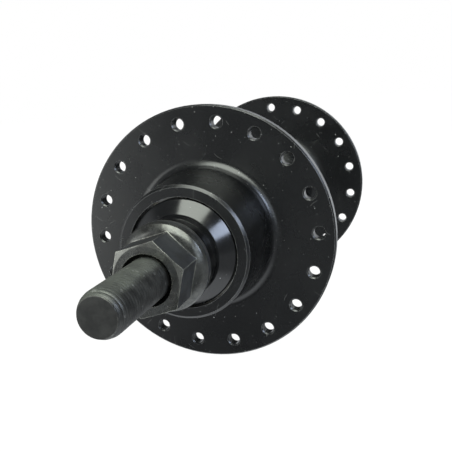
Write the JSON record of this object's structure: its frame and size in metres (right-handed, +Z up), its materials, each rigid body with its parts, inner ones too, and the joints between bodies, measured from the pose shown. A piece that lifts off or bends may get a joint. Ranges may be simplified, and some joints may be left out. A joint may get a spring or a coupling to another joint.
{
  "type": "bmx front hub",
  "caption": "Black high-flange front hub with a solid threaded axle, flanged axle nuts, cones, dust covers and caged ball bearings.",
  "frame": {"origin": "centre of the hub, on the axle's centreline, midway between the two locknut faces", "axes": "+Y along the axle towards the left end, +X forwards, +Z up; the right end at -Y faces the viewer of the picture"},
  "size_m": [0.068, 0.216, 0.068],
  "materials": {
    "shell_black": "satin black anodised",
    "cover_black": "gloss black",
    "neck_black": "gloss black",
    "nut_black": "black oxide, worn pale on the edges",
    "axle_black": "black oxide, oiled",
    "bearing_steel": "ground and hardened",
    "cage_steel": "pressed steel"
  },
  "bodies": {
    "axle_set": {"axle": "axle_black", "right_cone": "neck_black", "right_dust_cover": "cover_black", "right_lock_washer": "neck_black", "right_locknut": "neck_black", "left_cone": "neck_black", "left_dust_cover": "cover_black", "left_lock_washer": "neck_black", "left_locknut": "neck_black"},
    "shell": {"hub_shell": "shell_black", "right_cup": "bearing_steel", "left_cup": "bearing_steel"},
    "right_bearing": {"right_ball_cage": "cage_steel", "right_balls": "bearing_steel"},
    "right_washer": {"right_axle_washer": "nut_black"},
    "right_nut": {"right_axle_nut": "nut_black"},
    "left_bearing": {"left_ball_cage": "cage_steel", "left_balls": "bearing_steel"},
    "left_washer": {"left_axle_washer": "nut_black"},
    "left_nut": {"left_axle_nut": "nut_black"}
  },
  "joints": [
    {"name": "hub_spin", "type": "hinge", "parent": "axle_set", "child": "shell", "pos_m": [0, 0, 0], "axis": [0, 1, 0], "continuous": true},
    {"name": "right_bearing_roll", "type": "hinge", "parent": "axle_set", "child": "right_bearing", "pos_m": [0, -0.06135, 0], "axis": [0, 1, 0], "continuous": true},
    {"name": "right_washer_slide", "type": "slide", "parent": "axle_set", "child": "right_washer", "axis": [0, -1, 0], "range_m": [0, 0.0177]},
    {"name": "right_nut_turn", "type": "hinge", "parent": "right_washer", "child": "right_nut", "pos_m": [0, -0.08155, 0], "axis": [0, -1, 0], "range_deg": [0, 6480]},
    {"name": "left_bearing_roll", "type": "hinge", "parent": "axle_set", "child": "left_bearing", "pos_m": [0, 0.06135, 0], "axis": [0, 1, 0], "continuous": true},
    {"name": "left_washer_slide", "type": "slide", "parent": "axle_set", "child": "left_washer", "axis": [0, 1, 0], "range_m": [0, 0.0177]},
    {"name": "left_nut_turn", "type": "hinge", "parent": "left_washer", "child": "left_nut", "pos_m": [0, 0.08155, 0], "axis": [0, 1, 0], "range_deg": [0, 6480]}
  ],
  "couplings": [
    {"joint": "right_bearing_roll", "follows": "hub_spin", "ratio": 0.5935},
    {"joint": "right_washer_slide", "follows": "right_nut_turn", "m_per_rad": 0.00015548},
    {"joint": "left_bearing_roll", "follows": "hub_spin", "ratio": 0.5935},
    {"joint": "left_washer_slide", "follows": "left_nut_turn", "m_per_rad": 0.00015548}
  ]
}
